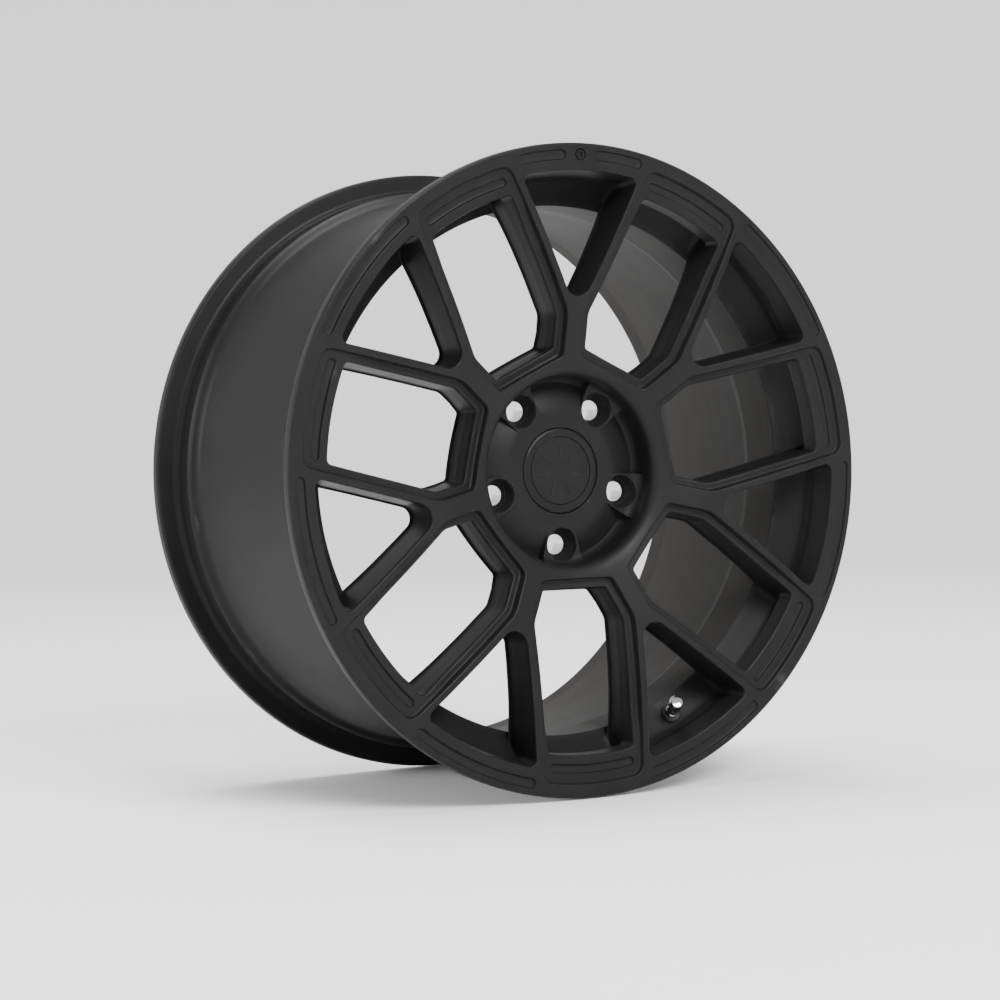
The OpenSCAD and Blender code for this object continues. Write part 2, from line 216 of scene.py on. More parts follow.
# Face and spoke profiles

face = {
    "bowlArc": 515,
    "bowlStart": 225,
    "backPoints": ((86, 57.0), (96, 50.5), (108, 45.0), (130, 40.6), (155, 37.6), (180, 36.4), (198, 37.4),
                   (212, 39.48)),
    "ridge": (222.7, 31.5),
    "crease": (204.6, 45.0),
    "hubJoin": 78,
    "rollover": ((72.6, 30.5), (72.75, 28.2), (73.15, 26.3), (74, 24.6), (75.3, 23.2), (77, 22.1),
                 (79, 21.25),
                 (81.5, 20.42), (84, 19.68)),
    "backJoin": 86,
    "edge": 246.2,
    "segments": 20,  # round half a spoke's sector
    "axisStops": (79.5, 81.2, 83, 85.5, 88, 92, 97, 103, 111, 118),
    "coneStops": (219.2, 215.7, 212.2, 208.4),
}
window = {
    "armAngle": math.radians(26.6),
    "forkApex": 119.5,
    "forkRadius": 11.3,
    "armWidth": 6.0,
    "neck": 8.0,
    "hubSide": 82.8,
    "armStops": (148, 157, 166, 175, 184, 193, 202, 212),
}


def onPath(path, r):
    for (r0, d0), (r1, d1) in zip(path, path[1:]):
        if r <= r1:
            return d0 + (d1 - d0) * (r - r0) / (r1 - r0)
    return path[-1][1]


def faceDepth(r):
    if r >= face["bowlStart"]:
        return 0.0
    if r < face["rollover"][-1][0]:
        return onPath(face["rollover"], r)
    return face["bowlArc"] - math.sqrt(face["bowlArc"] ** 2 - (face["bowlStart"] - r) ** 2)


def smooth(t):
    t = max(0.0, min(1.0, t))
    return t * t * (3 - 2 * t)


def coneDepth(r):
    (r0, d0), (r1, d1) = face["ridge"], face["crease"]
    return d0 + (r0 - r) * (d1 - d0) / (r0 - r1)


def backDepth(r):
    path = face["backPoints"]
    if r >= path[-1][0]:
        return coneDepth(min(r, face["ridge"][0]))
    return onPath(path, r)


def ledgeDrop(r):
    return 3.8 + 2.6 * smooth((214 - r) / 26)


def arcPoints(centre, radius, start, end, steps):
    return [(centre[0] + radius * math.cos(start + (end - start) * i / steps),
             centre[1] + radius * math.sin(start + (end - start) * i / steps)) for i in range(steps + 1)]


def between(a, b, steps):  # points strictly between two
    return [(a[0] + (b[0] - a[0]) * i / steps, a[1] + (b[1] - a[1]) * i / steps) for i in range(1, steps)]


def crossing(n1, k1, n2, k2):  # where two lines n.p = k meet
    cross = n1[0] * n2[1] - n1[1] * n2[0]
    return ((k1 * n2[1] - k2 * n1[1]) / cross, (n1[0] * k2 - n2[0] * k1) / cross)


def rimCorner(n, k, rimR, cornerR):  # centre of the round between a line and the rim's circle
    side = k - cornerR
    along = math.sqrt((rimR - cornerR) ** 2 - side ** 2)
    return (n[0] * side - n[1] * along, n[1] * side + n[0] * along)


def stopsOnLine(n, k, radii):
    return [(n[0] * k - n[1] * math.sqrt(r * r - k * k),
             n[1] * k + n[0] * math.sqrt(r * r - k * k)) for r in radii]


# Right half of the outline inside a spoke's fork, from its foot up to the rim
def forkHalf(inset, rimR, cornerR):
    a = window["armAngle"]
    n = (math.cos(a), -math.sin(a))
    k = n[1] * (window["forkApex"] + inset / math.sin(a))
    forkR = window["forkRadius"] - inset
    foot = (0, window["forkApex"] + window["forkRadius"] / math.sin(a))
    corner = rimCorner(n, k, rimR, cornerR)
    turn = math.atan2(corner[1], corner[0])
    path = arcPoints(foot, forkR, -math.pi / 2, -a, 9)
    path += stopsOnLine(n, k, window["armStops"])
    path += arcPoints(corner, cornerR, -a, turn, 9)
    path += arcPoints((0, 0), rimR, turn, math.pi / 2, 9)[1:]
    path[0] = (0.0, path[0][1])
    path[-1] = (0.0, rimR)
    return path


# Half of the outline between two spokes, from the hub up, turned to lie on the right of the spoke at +Y
def gapHalf(inset, rimR, cornerR, hubExtra=0.0, footR=None):
    a, b = window["armAngle"], pitch / 2
    hubN, hubK = (0, -1), -(window["hubSide"] + inset + hubExtra)
    neckN, neckK = (math.cos(b), -math.sin(b)), -(window["neck"] + inset)
    apex = window["forkApex"] - (window["armWidth"] + inset) / math.sin(a)
    armN = (math.cos(b - a), -math.sin(b - a))
    armK = armN[0] * apex * math.sin(b) + armN[1] * apex * math.cos(b)
    footR = max(3.0, 5.5 - inset * 0.35) if footR is None else footR
    bendR = 22 - inset
    foot = crossing(hubN, hubK + -footR, neckN, neckK - footR)
    bend = crossing(neckN, neckK - bendR, armN, armK - bendR)
    corner = rimCorner(armN, armK, rimR, cornerR)
    turn = math.atan2(corner[1], corner[0])
    footPath = arcPoints(foot, footR, -math.pi / 2, -b, 6)
    bendPath = arcPoints(bend, bendR, -b, a - b, 6)
    path = [(0.0, -hubK)] + between((0.0, -hubK), footPath[0], 5) + footPath
    path += between(footPath[-1], bendPath[0], 4) + bendPath
    path += stopsOnLine(armN, armK, window["armStops"])
    path += arcPoints(corner, cornerR, a - b, turn, 9)
    path += arcPoints((0, 0), rimR, turn, math.pi / 2, 9)[1:]
    path[-1] = (0.0, rimR)
    return [turned((-x, y), -b) for x, y in path]


def turned(p, angle):  # counter-clockwise from the front
    c, s = math.cos(angle), math.sin(angle)
    return (p[0] * c - p[1] * s, p[0] * s + p[1] * c)


# Walls of the openings, each row as inset, rim radius, corner radius and how deep:
# "drop" is under the face, "share" is the way from face to back

forkRows = [
    (-1.7, 229.2, 7.2, "drop", 0), (-1.2, 228.7, 6.7, "drop", 0), (-0.75, 228.25, 6.25, "drop", 0.15),
    (-0.3, 227.8, 5.8, "drop", 0.6), (0, 227.5, 5.5, "drop", 1.4), (0.15, 227.2, 5.4, "drop", 4),
    (0.5, 226.2, 5.3, "share", 0.32), (0.9, 225.2, 5.2, "share", 0.56), (1.0, 224.9, 5.2, "share", 0.62),
    (1.05, 225.0, 5.2, "share", 0.68), (1.15, 225.0, 5.2, "share", 0.88), (1.3, 224.0, 5.2, "share", 0.95),
    (1.9, 223.1, 5.4, "share", 0.985), (2.6, 222.7, 5.6, "share", 1),
]
gapRows = [
    (-1.7, 239.1, 11.2, "drop", 0), (-1.2, 238.6, 10.7, "drop", 0), (-0.75, 238.15, 10.2, "drop", 0.15),
    (-0.3, 237.7, 9.8, "drop", 0.6), (0, 237.4, 9.5, "drop", 1.3), (0.5, 237.0, 9.2, "ledge", -0.9),
    (0.9, 236.6, 8.9, "ledge", -0.3), (1.5, 236.0, 8.4, "ledge", 0), (2.1, 235.4, 7.9, "ledge", 0),
]
rowsBelowLedge = [
    (4.7, 218.1, 6.0, "ledge", 0), (5.2, 217.5, 5.6, "ledge", 0), (5.7, 216.8, 5.2, "ledge", 0.3),
    (6.2, 216.2, 4.8, "ledge", 0.9), (6.5, 215.9, 4.6, "ledge", 1.9), (6.65, 215.7, 4.5, "share", 0.36),
    (6.9, 215.5, 4.5, "share", 0.46), (7.1, 215.6, 4.5, "share", 0.53), (7.2, 216.6, 4.5, "share", 0.56),
    (7.25, 222.0, 4.5, "share", 0.6), (7.3, 224.6, 4.5, "share", 0.66), (7.4, 225.0, 4.5, "share", 0.88),
    (7.6, 224.0, 4.8, "share", 0.95), (8.2, 223.1, 5.0, "share", 0.985), (8.9, 222.7, 5.2, "share", 1),
]


def rowDepth(kind, amount, p):
    r = math.hypot(*p)
    if kind == "drop":
        return faceDepth(r) + amount
    if kind == "ledge":
        return faceDepth(r) + ledgeDrop(r) + amount
    return faceDepth(r) + (backDepth(r) - faceDepth(r)) * amount


def wallRows(half, rows):
    made = []
    for inset, rimR, cornerR, kind, amount in rows:
        outline = half(inset, rimR, cornerR)
        made.append([(x, y, rowDepth(kind, amount, (x, y))) for x, y in outline])
    return made


def gapOutline(inset, rimR, cornerR):
    hubExtra = 1.3 * smooth((inset + 0.3) / 2.2)
    return gapHalf(inset, rimR, cornerR, hubExtra)


# Right half of a round-ended slot along a circle, centred on +Y, from its outer middle round to its inner one
def slotHalf(innerR, outerR, halfAngle, grow=0.0, ends=7):
    midR, endR = (innerR + outerR) / 2, (outerR - innerR) / 2 + grow
    outer = [turned((0, midR + endR), -halfAngle * i / 6) for i in range(7)]
    inner = [turned((0, midR - endR), -halfAngle * i / 6) for i in range(6, -1, -1)]
    end = [turned((endR * math.sin(math.pi * i / ends), midR + endR * math.cos(math.pi * i / ends)),
                  -halfAngle) for i in range(1, ends)]
    return outer + end + inner


# A whole round-ended slot between two angles, clockwise from +Y
def slotLoop(innerR, outerR, fromAngle, toAngle, grow=0.0):
    middle, half = (fromAngle + toAngle) / 2, (toAngle - fromAngle) / 2
    right = slotHalf(innerR, outerR, half, grow)
    left = [(-x, y) for x, y in reversed(right)]
    return [turned(p, -middle) for p in right[:-1] + left[:-1]]


slotRows = ((0.8, 0), (0.4, 0.0), (0.15, 0.15), (-0.1, 0.6), (-0.3, 1.4), (-0.7, 1.9), (-1.3, 2.1))
slot = {"flange": (235.6, 243.4), "ledge": (223.0, 229.8), "flangeHalf": math.radians(12.3),
        "ledgeHalf": math.radians(8.7), "markGap": math.radians(4.0)}


def flangeSurface(x, y):
    return faceDepth(math.hypot(x, y))


def ledgeSurface(x, y):
    r = math.hypot(x, y)
    return faceDepth(r) + ledgeDrop(r)


# Walls and floor of a slot sunk in a surface: outlineAt(grow) gives its outline
def carveSlot(shell, outlineAt, surface, closed):
    rows = [[(x, y, surface(x, y) + drop) for x, y in outlineAt(grow)] for grow, drop in slotRows]
    loft(shell, rows, closed=closed)
    floor = [(x, y) for x, y, _ in rows[-1]]
    fill(shell, [floor], [], lambda x, y: surface(x, y) + slotRows[-1][1], 1)


def polarGrid(fromR, toR, stepR, fromAngle, toAngle, stepMm):
    points = []
    count = max(1, round((toR - fromR) / stepR))
    for i in range(count + 1):
        r = fromR + (toR - fromR) * i / count
        turns = max(1, round((toAngle - fromAngle) * r / stepMm))
        for j in range(turns + 1):
            t = fromAngle + (toAngle - fromAngle) * j / turns
            points.append((r * math.sin(t), r * math.cos(t)))
    return points


def arcAlong(r, fromAngle, toAngle, steps):  # angles clockwise from +Y
    return [(r * math.sin(fromAngle + (toAngle - fromAngle) * i / steps),
             r * math.cos(fromAngle + (toAngle - fromAngle) * i / steps)) for i in range(steps + 1)]


def joined(*paths):  # one closed loop, repeated points dropped
    loop = []
    for path in paths:
        for p in path:
            if not loop or math.hypot(p[0] - loop[-1][0], p[1] - loop[-1][1]) > 1e-4:
                loop.append(p)
    if math.hypot(loop[0][0] - loop[-1][0], loop[0][1] - loop[-1][1]) < 1e-4:
        loop.pop()
    return loop


# Plain raised ring in a round pocket between two slots
mark = {"atR": 239.6, "pocketR": 4.6, "ringR": 2.9, "ringHalf": 0.75, "top": 0.35, "foot": 2.0, "edge": 0.3,
        "steps": 40}


def markRing():
    shell = Shell()
    inner, outer = mark["ringR"] - mark["ringHalf"], mark["ringR"] + mark["ringHalf"]
    section = rounded([(inner, mark["foot"], 0), (inner, mark["top"], mark["edge"]),
                       (outer, mark["top"], mark["edge"]), (outer, mark["foot"], 0)], 3)
    steps = mark["steps"]
    rings = [[(r * math.cos(2 * math.pi * i / steps), mark["atR"] + r * math.sin(2 * math.pi * i / steps), d)
              for i in range(steps)] for r, d in section + section[:1]]
    loft(shell, rings, closed=True)
    return shell


valve = {"placeR": 215.7, "spotR": 8.2, "spotSink": 0.7, "holeR": 5.7}
slopeLean = math.atan2(face["ridge"][0] - face["crease"][0], face["crease"][1] - face["ridge"][1])


# A point of the valve's own frame, standing at +Y, as (x, y, depth); z runs out of the wall
def valvePoint(x, y, z):
    along = math.sin(slopeLean)
    across = math.cos(slopeLean)
    base = (valve["placeR"], coneDepth(valve["placeR"]))
    r = base[0] + y * along - z * across
    return (x, r, base[1] - y * across - z * along)


def spotHalf():  # right half of the spot face's edge on the cone, from the outer side round to the inner one
    made = []
    for i in range(17):
        a = math.pi * i / 16
        x, y = valve["spotR"] * math.sin(a), valve["spotR"] * math.cos(a)
        z = 0.0
        for _ in range(12):  # slides the point along the valve's axis until it lies on the cone
            px, py, depth = valvePoint(x, y, z)
            z += (depth - coneDepth(math.hypot(px, py))) * 0.9
        made.append(valvePoint(x, y, z))
    made[0] = (0.0,) + made[0][1:]
    made[-1] = (0.0,) + made[-1][1:]
    return made


# Half of one spoke's sector, on the right of +Y: face, opening walls, ledge, slots, back and inner cone
def halfSector(kind):
    shell = Shell()
    half = pitch / 2
    fork = wallRows(forkHalf, forkRows)
    gap = wallRows(gapOutline, gapRows)
    lower = wallRows(gapOutline, rowsBelowLedge)
    loft(shell, fork)
    loft(shell, gap, flip=True)
    loft(shell, lower, flip=True)
    flat = lambda row: [(x, y) for x, y, _ in row]
    forkTop, gapTop = flat(fork[0]), flat(gap[0])
    # front face
    holes = []
    inR, outR = slot["flange"]
    if kind == "marked":
        loop = slotLoop(inR, outR, slot["markGap"], slot["flangeHalf"], slotRows[0][0])
        holes.append(loop)
        carveSlot(shell, lambda grow: slotLoop(inR, outR, slot["markGap"], slot["flangeHalf"], grow),
                  flangeSurface, True)
        badgeEdge = lambda grow: arcPoints((0, mark["atR"]), mark["pocketR"] + grow,
                                           math.pi / 2, -math.pi / 2, 14)
        axisPart = badgeEdge(slotRows[0][0])[::-1]
        axisPart[0], axisPart[-1] = (0.0, axisPart[0][1]), (0.0, axisPart[-1][1])
        carveSlot(shell, badgeEdge, flangeSurface, False)
    else:
        edge = slotHalf(inR, outR, slot["flangeHalf"], slotRows[0][0])
        axisPart = edge[::-1]
        carveSlot(shell, lambda grow: slotHalf(inR, outR, slot["flangeHalf"], grow), flangeSurface, False)
    around = arcAlong(face["edge"], 0, half, face["segments"])
    hubArc = arcAlong(face["hubJoin"], 0, half, face["segments"])
    axis = [(0, r) for r in face["axisStops"]]
    loop = joined([(0, face["hubJoin"])], axis, forkTop, axisPart, around, gapTop[::-1], hubArc[::-1])
    grid = polarGrid(79.5, 88, 1.7, 0, half, 3) + polarGrid(91, 132, 4.5, 0, half, 5)
    grid += polarGrid(140, 226, 8, 0, half, 5)
    grid += polarGrid(229, 245, 4, 0, half, 7)
    fill(shell, [loop] + holes, grid, flangeSurface, 1.6)
    # ledge with its slot, mirrored about the window's own centre line
    ledgeEdge = [turned((-x, y), -half)
                 for x, y in slotHalf(*slot["ledge"], slot["ledgeHalf"], slotRows[0][0])]
    outer, inner = flat(gap[-1]), flat(lower[0])
    loop = joined(outer, ledgeEdge, inner[::-1])
    fill(shell, [loop], [], ledgeSurface, 1)
    carveSlot(shell, lambda grow: [turned((-x, y), -half) for x, y in
                                   slotHalf(*slot["ledge"], slot["ledgeHalf"], grow)], ledgeSurface, False)
    # back of the spokes
    forkBack, gapBack = flat(fork[-1]), flat(lower[-1])
    joinR = face["backPoints"][-1][0]
    forkStop = 1 + min(range(len(forkBack)), key=lambda i: abs(math.hypot(*forkBack[i]) - joinR))
    gapStop = 1 + min(range(len(gapBack) - 19), key=lambda i: abs(math.hypot(*gapBack[i]) - joinR))
    backArc = arcAlong(face["backJoin"], 0, half, face["segments"])
    forkLow, gapLow = forkBack[:forkStop], gapBack[:gapStop]
    loop = joined([(0, face["backJoin"])], [(0, 100), (0, 115)], forkLow, gapLow[::-1], backArc[::-1])
    fill(shell, [loop], polarGrid(90, 208, 6, 0, half, 7),
         lambda x, y: backDepth(math.hypot(x, y)), 1.8, flip=True)
    # inner cone, from the ridge down to the crease
    creaseArc = arcAlong(face["crease"][0], 0, half, face["segments"])
    forkHigh, gapHigh = forkBack[forkStop - 1:], gapBack[gapStop - 1:]
    coneStops = [(0, r) for r in face["coneStops"]]
    seamStops = [turned(p, -half) for p in coneStops]
    spotEdge = coneStops
    if kind == "valved":
        edge = spotHalf()
        spotEdge = flat(edge)
        rings = [edge]
        for rho, z in ((valve["spotR"] - 0.4, -valve["spotSink"]), (valve["spotR"] - 1.2, -valve["spotSink"]),
                       (valve["holeR"], -valve["spotSink"]), (valve["holeR"], -4), (0, -4)):
            rings.append([valvePoint(rho * math.sin(math.pi * i / 16), rho * math.cos(math.pi * i / 16), z)
                          for i in range(17)])
        loft(shell, rings)
    loop = joined(forkHigh, spotEdge, creaseArc, seamStops[::-1], gapHigh[::-1])
    fill(shell, [loop], polarGrid(208.4, 219.2, 3.6, 0, half, 5),
         lambda x, y: coneDepth(math.hypot(x, y)), 1.2)
    return shell


# Hub: one tenth, from the middle of a weight pocket round to the middle of a lug well

hub = {
    "faceDepth": 41.0,
    "insideR": 34.0,
    "footR": 71.0,
    "foot": (65.5, 7.0),  # where the face starts to curve up into the dish, and how roundly
    "wall": ((71.6, 0.9), (72.1, 1.9), (72.4, 3.2)),  # radius, and rise over the foot
    "wallTop": (72.6, 33.5),
    "lugCircle": 57.15,
    "lugEdgeR": 13.5,
    "wellR": 12.9,
    "wellEdge": ((13.15, 0.12), (12.97, 0.4), (12.9, 0.9)),
    "seatR": 10.0,
    "wellSteps": 20,
    "segments": 28,  # round one tenth, as many as the sectors have
    "pocketHalf": math.radians(21.3),
    "pocketFrom": 46.0,
    "pocketTo": 68.0,
    "pocketDrop": 7.8,
    "axisStops": [46 + 1.5 * i for i in range(17)],
    "backDepth": 71.15,
}


def hubSurface(x, y):
    r, t = math.hypot(x, y), abs(math.atan2(x, y))
    start, bend = hub["foot"]
    over = max(0, r - start)
    plateau = hub["faceDepth"] - bend + math.sqrt(bend ** 2 - over ** 2)
    run = min(1, max(0, (r - hub["pocketFrom"]) / (hub["pocketTo"] - hub["pocketFrom"])))
    beyond = max(0, r - hub["pocketTo"]) / 3.0
    floor = hub["faceDepth"] + hub["pocketDrop"] * run ** 1.25 - 2.6 * beyond ** 2
    side = smooth((r * (hub["pocketHalf"] - t) + 0.5) / 1.0)
    return plateau + (floor - plateau) * side


def lugArc(r):  # half a circle round the lug hole, from its inner side outwards
    turn = math.pi / lugs
    out, across = (math.sin(turn), math.cos(turn)), (-math.cos(turn), math.sin(turn))
    made = []
    for i in range(hub["wellSteps"] + 1):
        a = math.pi * i / hub["wellSteps"]
        along, off = hub["lugCircle"] - r * math.cos(a), r * math.sin(a)
        made.append((out[0] * along + across[0] * off, out[1] * along + across[1] * off))
    return made


def hubTenth():
    shell = Shell()
    turn = math.pi / lugs
    regular = [turn * i / hub["segments"] for i in range(hub["segments"] + 1)]
    dense = [hub["pocketHalf"] + math.radians(a)
             for a in (-1.05, -0.85, -0.62, -0.38, -0.15, 0.1, 0.35, 0.6, 0.85)]
    rays = sorted(regular + [t for t in dense if min(abs(t - u) for u in regular) > 0.0012])
    spin = lambda r, angles: [(r * math.sin(t), r * math.cos(t)) for t in angles]
    # face, with its pocket and half a lug well
    grid = []
    for i in range(17):
        coarse = [math.radians(2.4) * k for k in range(8)]
        grid += spin(46 + 1.5 * i, [t for t in rays if t > math.radians(19)] + coarse)
    grid += spin(37.5, regular[::3]) + spin(41.5, regular[::3])
    axis = [(0, r) for r in reversed(hub["axisStops"])]
    loop = joined(spin(hub["insideR"], regular), lugArc(hub["lugEdgeR"]),
                  spin(hub["footR"], rays[::-1]), axis)
    fill(shell, [loop], grid, hubSurface, 0.35)
    # dish wall up to the face's rollover
    foot = [(x, y, hubSurface(x, y)) for x, y in spin(hub["footR"], rays)]
    rows = [foot]
    for r, up in hub["wall"]:
        rows.append([(x, y, hubSurface(*foot) - up)
                     for (x, y), foot in zip(spin(r, rays), spin(hub["footR"], rays))])
    rows += [[(x, y, d) for x, y in spin(r, rays)] for r, d in (hub["wallTop"],) + face["rollover"][:5]]
    loft(shell, rows)
    strip = joined(spin(face["rollover"][4][0], rays), spin(face["hubJoin"], regular[::-1]))
    fill(shell, [strip], [], flangeSurface, 1)
    # lug well, its taper and the hole that the insert fills
    well = [[(x, y, hubSurface(x, y)) for x, y in lugArc(hub["lugEdgeR"])]]
    for r, under in hub["wellEdge"]:
        well.append([(x, y, hubSurface(*p) + under) for (x, y), p in zip(lugArc(r), lugArc(hub["lugEdgeR"]))])
    for r, d in ((hub["wellR"], 44.6), (12.7, 45.2), (10.35, 48.2), (10.0, 48.8), (10.0, hub["backDepth"])):
        well.append([(x, y, d) for x, y in lugArc(r)])
    loft(shell, well, flip=True)
    # recess behind the cap, lip and bore
    inner = rounded([(hub["insideR"], 41, 0), (33.4, 41, 0.5), (33.4, 45, 0), (29.5, 45, 0.3),
                     (29.5, 56, 0.3),
                     (36.3, 56, 0), (36.3, 69.65, 0), (37.8, hub["backDepth"], 0)], 3)
    revolve(shell, inner, regular, flip=True)
    pad = joined(spin(37.8, regular), lugArc(hub["seatR"]), spin(72, regular[::-1]))
    fill(shell, [pad], [], lambda x, y: hub["backDepth"], 1, flip=True)
    outer = rounded([(72, hub["backDepth"], 0), (74.6, hub["backDepth"], 2.0), (76.2, 67, 1.5), (78, 61, 4),
                     (face["backJoin"], backDepth(face["backJoin"]), 0)], 4)
    revolve(shell, outer, regular)
    return shell


# Barrel, from the front flange round the tyre's side to the back flange and down inside to the crease

barrel = {"around": 2 * face["segments"] * spokes}


def barrelProfile():
    w = 2 * halfWidth
    outside = [(face["edge"], 0, 0), (rimRadius, 0, 2.2), (rimRadius, 10.5, 2.5), (231, 10.5, 5.5),
               (230.3, 31, 2), (231.6, 33, 1.2), (229.4, 36.2, 3), (211, 50.8, 7), (209, 54, 3),
               (209.6, 84, 20), (225.4, 221, 12), (230, 226, 3), (232.3, w - 32.5, 1.6),
               (230.6, w - 30, 1.6), (231, w - 10.5, 5.5),
               (rimRadius, w - 10.5, 2.5), (rimRadius, w, 2.5), (236, w, 3)]
    inside = [(223, w - 14, 6), (221.4, w - 18, 3), (221.2, 227.5, 6), (207.2, 93, 3), (205.2, 85.5, 3),
              (204.7, 46.7, 0.2), (205.5, 46.4, 0), (205.5, 45.8, 0), (204.62, 45.5, 0), face["crease"] + (0,)]
    path = rounded(outside + inside, 4)
    split = next(i for i, p in enumerate(path) if p[1] > w - 1 and p[0] < 238)
    return path, split


def barrelShell():
    shell = Shell()
    path, split = barrelProfile()
    angles = [2 * math.pi * i / barrel["around"] for i in range(barrel["around"] + 1)]
    revolve(shell, path[:split + 1], angles)
    revolve(shell, path[split:], angles, ink=1)
    return shell


# Geometry Nodes tree that repeats a piece round the axle

def repeatTree():
    tree = bpy.data.node_groups.new("repeatRound", "GeometryNodeTree")
    sockets = tree.interface
    sockets.new_socket("Geometry", in_out="INPUT", socket_type="NodeSocketGeometry")
    sockets.new_socket("Count", in_out="INPUT", socket_type="NodeSocketInt").default_value = 7
    sockets.new_socket("Pitch", in_out="INPUT", socket_type="NodeSocketFloat").default_value = 0.9
    sockets.new_socket("First", in_out="INPUT", socket_type="NodeSocketFloat").default_value = 0.0
    sockets.new_socket("Material", in_out="INPUT", socket_type="NodeSocketMaterial")
    sockets.new_socket("Geometry", in_out="OUTPUT", socket_type="NodeSocketGeometry")
    given = tree.nodes.new("NodeGroupInput")
    result = tree.nodes.new("NodeGroupOutput")
    line = tree.nodes.new("GeometryNodeMeshLine")
    line.inputs["Offset"].default_value = (0, 0, 0)
    index = tree.nodes.new("GeometryNodeInputIndex")
    steps = tree.nodes.new("ShaderNodeMath")
    steps.operation = "MULTIPLY_ADD"
    turn = tree.nodes.new("ShaderNodeCombineXYZ")
    copies = tree.nodes.new("GeometryNodeInstanceOnPoints")
    real = tree.nodes.new("GeometryNodeRealizeInstances")
    paint = tree.nodes.new("GeometryNodeSetMaterial")
    link = tree.links.new
    link(given.outputs["Count"], line.inputs["Count"])
    link(index.outputs[0], steps.inputs[0])
    link(given.outputs["Pitch"], steps.inputs[1])
    link(given.outputs["First"], steps.inputs[2])
    link(steps.outputs[0], turn.inputs["Y"])
    link(line.outputs["Mesh"], copies.inputs["Points"])
    link(given.outputs["Geometry"], copies.inputs["Instance"])
    link(turn.outputs[0], copies.inputs["Rotation"])
    link(copies.outputs[0], real.inputs[0])
    link(real.outputs[0], paint.inputs["Geometry"])
    link(given.outputs["Material"], paint.inputs["Material"])
    link(paint.outputs[0], result.inputs[0])
    return tree


repeatRound = repeatTree()


def repeated(mesh, count, step, first, material):  # returns a plain mesh; angles clockwise from the front
    piece = placed(mesh, "unit")
    modifier = piece.modifiers.new("repeat", "NODES")
    modifier.node_group = repeatRound
    values = {"Count": count, "Pitch": step, "First": first, "Material": material}
    for item in repeatRound.interface.items_tree:
        if item.in_out == "INPUT" and item.name in values:
            modifier[item.identifier] = values[item.name]
    piece.update_tag()
    bpy.context.view_layer.update()
    done = bpy.data.meshes.new_from_object(piece.evaluated_get(bpy.context.evaluated_depsgraph_get()))
    piece.modifiers.remove(modifier)
    bpy.data.objects.remove(piece)
    done.materials.clear()
    done.polygons.foreach_set("material_index", [0] * len(done.polygons))
    return done


sharpFrom = math.radians(38)


def merged(meshes, name, mergeGap=6e-6):
    work = bmesh.new()
    for mesh in meshes:
        work.from_mesh(mesh)
    bmesh.ops.remove_doubles(work, verts=work.verts, dist=mergeGap)
    bmesh.ops.dissolve_degenerate(work, dist=1e-7, edges=work.edges)
    bmesh.ops.delete(work, geom=[e for e in work.edges if not e.link_faces], context="EDGES")
    bmesh.ops.recalc_face_normals(work, faces=work.faces)
    for f in work.faces:
        f.smooth = True
    for e in work.edges:
        e.smooth = len(e.link_faces) != 2 or e.calc_face_angle(0) < sharpFrom
    mesh = bpy.data.meshes.new(name)
    work.to_mesh(mesh)
    openEdges = sum(1 for e in work.edges if not e.is_manifold)
    work.free()
    print(name, len(mesh.polygons), "faces,", openEdges, "edges not closed")
    return mesh


# Materials: shared groups give masks, values and normals; each material sets its own colours


def groupTree(name, outputs, inputs=()):
    tree = bpy.data.node_groups.new(name, "ShaderNodeTree")
    for label, value in inputs:
        tree.interface.new_socket(label, in_out="INPUT", socket_type="NodeSocketFloat").default_value = value
    for label, kind in outputs:
        tree.interface.new_socket(label, in_out="OUTPUT", socket_type=kind)
    return tree, tree.nodes.new("NodeGroupInput"), tree.nodes.new("NodeGroupOutput")


def mathNode(tree, operation, a, b=None, clamp=False):
    node = tree.nodes.new("ShaderNodeMath")
    node.operation = operation
    node.use_clamp = clamp
    for socket, value in zip(node.inputs, (a, b)):
        if value is None:
            continue
        if isinstance(value, (int, float)):
            socket.default_value = value
        else:
            tree.links.new(value, socket)
    return node.outputs[0]


def noiseNode(tree, where, scale, detail=3.0, roughness=0.5):
    node = tree.nodes.new("ShaderNodeTexNoise")
    node.inputs["Scale"].default_value = scale
    node.inputs["Detail"].default_value = detail
    node.inputs["Roughness"].default_value = roughness
    tree.links.new(where, node.inputs["Vector"])
    return node.outputs["Fac"]


def remap(tree, value, low, high, toLow=0.0, toHigh=1.0):
    node = tree.nodes.new("ShaderNodeMapRange")
    for label, number in (("From Min", low), ("From Max", high), ("To Min", toLow), ("To Max", toHigh)):
        node.inputs[label].default_value = number
    tree.links.new(value, node.inputs["Value"])
    return node.outputs["Result"]


def objectPlace(tree):
    return tree.nodes.new("ShaderNodeTexCoord").outputs["Object"]


coat = {"grain": 2600.0, "orangePeel": 520.0, "cloud": 22.0, "grainBump": 0.05, "peelBump": 0.12}


